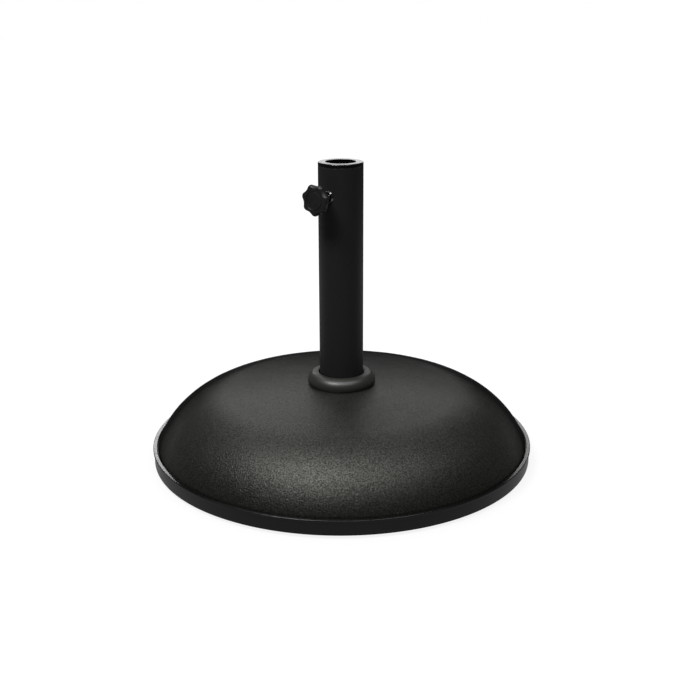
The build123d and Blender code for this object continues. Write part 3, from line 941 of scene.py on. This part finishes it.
def all_materials():
    return {
        "coated_concrete": coated_concrete(),
        "ring_plastic": ring_plastic(),
        "tube_paint": tube_paint(),
        "collar_plastic": collar_plastic(),
        "sleeve_plastic": black_plastic("sleeve_plastic", 0.004, 0.10, 0.16, 1.0),
        "knob_plastic": black_plastic("knob_plastic", 0.018, 0.32, 0.42, 0.4),
        "zinc_steel": plated_steel("zinc_steel", (0.62, 0.63, 0.65), 0.22, 0.34),
        "nut_steel": plated_steel("nut_steel", (0.30, 0.30, 0.31), 0.07, 0.13),
        "plain_steel": plated_steel("plain_steel", (0.30, 0.29, 0.28), 0.38, 0.5),
        "insert_brass": plated_steel("insert_brass", (0.66, 0.50, 0.25), 0.25, 0.38),
        "nylon": plain_plastic("nylon", (0.66, 0.64, 0.58), 0.4),
        "foot_rubber": foot_rubber(),
        "plug_plastic": plain_plastic("plug_plastic", (0.22, 0.22, 0.22), 0.45),
    }


# ---------------------------------------------------------------- stage
CAMERA_AZIMUTH = math.radians(36)
CAMERA_ELEVATION = math.radians(17.913)
CAMERA_DISTANCE = 1410.2 * MM
CAMERA_AIM_HEIGHT = 153.84 * MM
CAMERA_SHIFT = 1.5 * MM
CAMERA_ROLL = math.radians(-0.2)
CAMERA_LENS = 56.66
SENSOR_WIDTH = 36.0


def turned(x, y, z):
    """A place given as (right, away, up) of the camera's own heading, in the row frame."""
    cosine, sine = math.cos(CAMERA_AZIMUTH), math.sin(CAMERA_AZIMUTH)
    return Vector((x * cosine - y * sine, x * sine + y * cosine, z))


def add_camera():
    data = bpy.data.cameras.new("camera")
    data.lens, data.sensor_width = CAMERA_LENS, SENSOR_WIDTH
    data.clip_start, data.clip_end = 0.05, 60.0
    camera = bpy.data.objects.new("camera", data)
    bpy.context.scene.collection.objects.link(camera)
    back = turned(0, -math.cos(CAMERA_ELEVATION), math.sin(CAMERA_ELEVATION))
    right = turned(1, 0, 0)
    up = back.cross(right)
    side = right * math.cos(CAMERA_ROLL) + up * math.sin(CAMERA_ROLL)
    axes = Matrix((side, back.cross(side), back)).transposed()
    place = Vector((0, 0, CAMERA_AIM_HEIGHT)) + back * CAMERA_DISTANCE + side * CAMERA_SHIFT
    camera.matrix_world = Matrix.Translation(place) @ axes.to_4x4()
    bpy.context.scene.camera = camera


def add_softbox(name, place, aim, width, height, power):
    """A rectangular area light at a place in the camera's heading, facing its aim point."""
    data = bpy.data.lights.new(name, "AREA")
    data.shape, data.size, data.size_y, data.energy = "RECTANGLE", width, height, power
    light = bpy.data.objects.new(name, data)
    bpy.context.scene.collection.objects.link(light)
    light.location = turned(*place)
    light.rotation_mode = "QUATERNION"
    light.rotation_quaternion = (turned(*aim) - light.location).to_track_quat("-Z", "Y")
    light.visible_camera = False


LIGHTS = {
    "key_left": ((-1.1, -1.25, 2.8), (-0.36, -0.4, 0.1), 1.1, 0.7, 17.5),
    "key_middle": ((0, -1.25, 2.8), (0, -0.4, 0.1), 1.1, 0.7, 6.0),
    "key_right": ((1.1, -1.25, 2.8), (0.36, -0.4, 0.1), 1.1, 0.7, 3.0),
    "fill": ((0, -2.4, 2.8), (0, -0.7, 0.1), 3.4, 0.9, 0.1),
    "side_left": ((-1.2, -0.4, 2.8), (-0.36, -0.1, 0.1), 1.1, 0.9, 3.1),
    "side_right": ((1.2, -0.4, 2.8), (0.36, -0.1, 0.1), 1.1, 0.9, 2.7),
    "top_back_left": ((-1.2, 1.6, 2.8), (-0.36, 0.5, 0.1), 1.1, 0.9, 1.2),
    "top_back": ((0, 1.6, 2.8), (0, 0.5, 0.1), 1.1, 0.9, 2.6),
    "back_high": ((0, 3.0, 2.3), (0, 0, 0.6), 2.4, 1.4, 0.2),
    "back_low": ((0, 3.0, 1.15), (0, 0, 0.6), 3.0, 0.9, 0.1),
    "back_strip": ((0, 3.0, 0.83), (0, 0, 0.4), 1.6, 0.3, 1.5),
    "back_strip_left": ((-0.85, 3.0, 1.33), (-0.25, 0, 0.03), 0.5, 0.3, 5.5),
    "back_strip_right": ((0.85, 3.0, 1.28), (0.25, 0, 0.03), 0.5, 0.3, 2.7),
}
SURROUND = 0.03
FLOOR_FRONT_GLOW = 0.24
FLOOR_BACK_GLOW = 0.5
FLOOR_SIDE_GLOW = 0.12
FLOOR_DARK_LANE = 0.34


def add_lights():
    """Each softbox is given by place, aim, width, height and its brightness per unit of area."""
    for name, (place, aim, width, height, brightness) in LIGHTS.items():
        add_softbox(name, place, aim, width, height, math.pi * width * height * brightness)


def add_world():
    """Plain white behind for the camera, a dim surround for everything else."""
    world = bpy.data.worlds.new("surroundings")
    bpy.context.scene.world = world
    world.use_nodes = True
    tree = world.node_tree
    seen = tree.nodes.new("ShaderNodeLightPath")
    level = tree.nodes.new("ShaderNodeMapRange")
    level.inputs["To Min"].default_value = SURROUND
    level.inputs["To Max"].default_value = 1.0
    tree.links.new(seen.outputs["Is Camera Ray"], level.inputs["Value"])
    background = tree.nodes["Background"]
    background.inputs["Color"].default_value = (1, 1, 1, 1)
    tree.links.new(level.outputs["Result"], background.inputs["Strength"])


# How the floor's glow, as the pieces see it, changes over distances in metres.
FLOOR_HALF = 12.0
FLOOR_FRONT_TO_BACK = 0.25
FLOOR_LANE_CORE, FLOOR_LANE_REACH = 0.04, 0.14
FLOOR_FADE_START, FLOOR_FADE_END, FLOOR_FAR_SHARE = 0.9, 1.8, 0.06
# What the camera sees: a plain surface that glows a little less near the base, a painted contact shadow.
FLOOR_GREY = 0.14
FLOOR_NEAR, FLOOR_FAR, FLOOR_NEAR_GLOW = 0.25, 0.55, 0.88


def add_floor():
    """A large plain white floor. The camera sees it nearly white with a faint contact shadow, partly
    real and partly painted as a dimmer glow near the base. The pieces see it darker in front than
    behind, with a dark lane on either side of the base, and fading with distance. From beneath it
    is clear, to show the underside."""
    half = FLOOR_HALF
    corners = [(-half, -half, 0), (half, -half, 0), (half, half, 0), (-half, half, 0)]
    floor = mesh_object("floor", corners, [(0, 1, 2, 3)])
    finish = Finish("floor")
    tree = finish.tree
    path = finish.node("ShaderNodeLightPath")
    side = finish.node("ShaderNodeNewGeometry")
    kind, dot = "ShaderNodeVectorMath", "DOT_PRODUCT"
    away = finish.node(kind, {0: finish.place, 1: turned(0, 1, 0)}, operation=dot)
    distance = finish.node(kind, {0: finish.place}, operation="LENGTH").outputs["Value"]
    across = finish.node(kind, {0: finish.place, 1: turned(1, 0, 0)}, operation=dot)
    aside = finish.math("ABSOLUTE", across.outputs["Value"])
    from_dark_lane = finish.math("ABSOLUTE", finish.math("SUBTRACT", aside, FLOOR_DARK_LANE))
    lane = (FLOOR_LANE_CORE, FLOOR_LANE_REACH)
    back_glow = finish.ramp(from_dark_lane, *lane, FLOOR_SIDE_GLOW, FLOOR_BACK_GLOW)
    middle = FLOOR_FRONT_TO_BACK
    glow = finish.ramp(away.outputs["Value"], -middle, middle, FLOOR_FRONT_GLOW, back_glow)
    fade = finish.ramp(distance, FLOOR_FADE_START, FLOOR_FADE_END, 1.0, FLOOR_FAR_SHARE)
    glow = finish.math("MULTIPLY", glow, fade)
    unseen = finish.node("ShaderNodeEmission", {"Strength": glow})
    finish.set(color=grey(FLOOR_GREY, FLOOR_GREY, FLOOR_GREY), rough=1.0, specular=0.0)
    finish.surface.inputs["Emission Color"].default_value = (1, 1, 1, 1)
    # Painted contact shadow: the camera sees the floor's glow at 0.88 within 0.25 m of the axis, rising to
    # full beyond 0.55 m.
    seen_glow = finish.ramp(distance, FLOOR_NEAR, FLOOR_FAR, FLOOR_NEAR_GLOW, 1.0)
    tree.links.new(seen_glow, finish.surface.inputs["Emission Strength"])
    clear = finish.node("ShaderNodeBsdfTransparent")
    seen = tree.nodes.new("ShaderNodeMixShader")
    sided = tree.nodes.new("ShaderNodeMixShader")
    tree.links.new(path.outputs["Is Camera Ray"], seen.inputs[0])
    tree.links.new(unseen.outputs[0], seen.inputs[1])
    tree.links.new(finish.surface.outputs[0], seen.inputs[2])
    tree.links.new(side.outputs["Backfacing"], sided.inputs[0])
    tree.links.new(seen.outputs[0], sided.inputs[1])
    tree.links.new(clear.outputs[0], sided.inputs[2])
    tree.links.new(sided.outputs[0], tree.nodes["Material Output"].inputs["Surface"])
    floor.data.materials.append(finish.material)


# ---------------------------------------------------------------- build
def build():
    finishes = all_materials()
    make_dome(finishes["coated_concrete"])
    make_edge_ring(finishes["ring_plastic"])
    make_collar(finishes["collar_plastic"])
    make_tube(finishes["tube_paint"])
    make_flange(finishes["tube_paint"])
    make_anchor_bolts(finishes["zinc_steel"])
    make_anchor_washers(finishes["zinc_steel"])
    make_lock_washers(finishes["zinc_steel"])
    make_plug(finishes["sleeve_plastic"])
    make_sleeve(finishes["sleeve_plastic"])
    make_knob(finishes["knob_plastic"])
    make_cap(finishes["knob_plastic"])
    make_nut(finishes["nut_steel"])
    make_screw(finishes["zinc_steel"])
    make_tip_pad(finishes["nylon"])
    make_feet(finishes["foot_rubber"])
    make_foot_screws(finishes["zinc_steel"])
    for node in ("reinforcing_ring", "anchor_inserts", "foot_plugs"):
        kept = frame["nodes"][node]
        kept.data.materials.clear()
        kept.data.materials.append(finishes[NODE_SLOT[node]])


build()
add_floor()
add_world()
add_lights()
add_camera()
bpy.context.scene.view_settings.view_transform = "Standard"
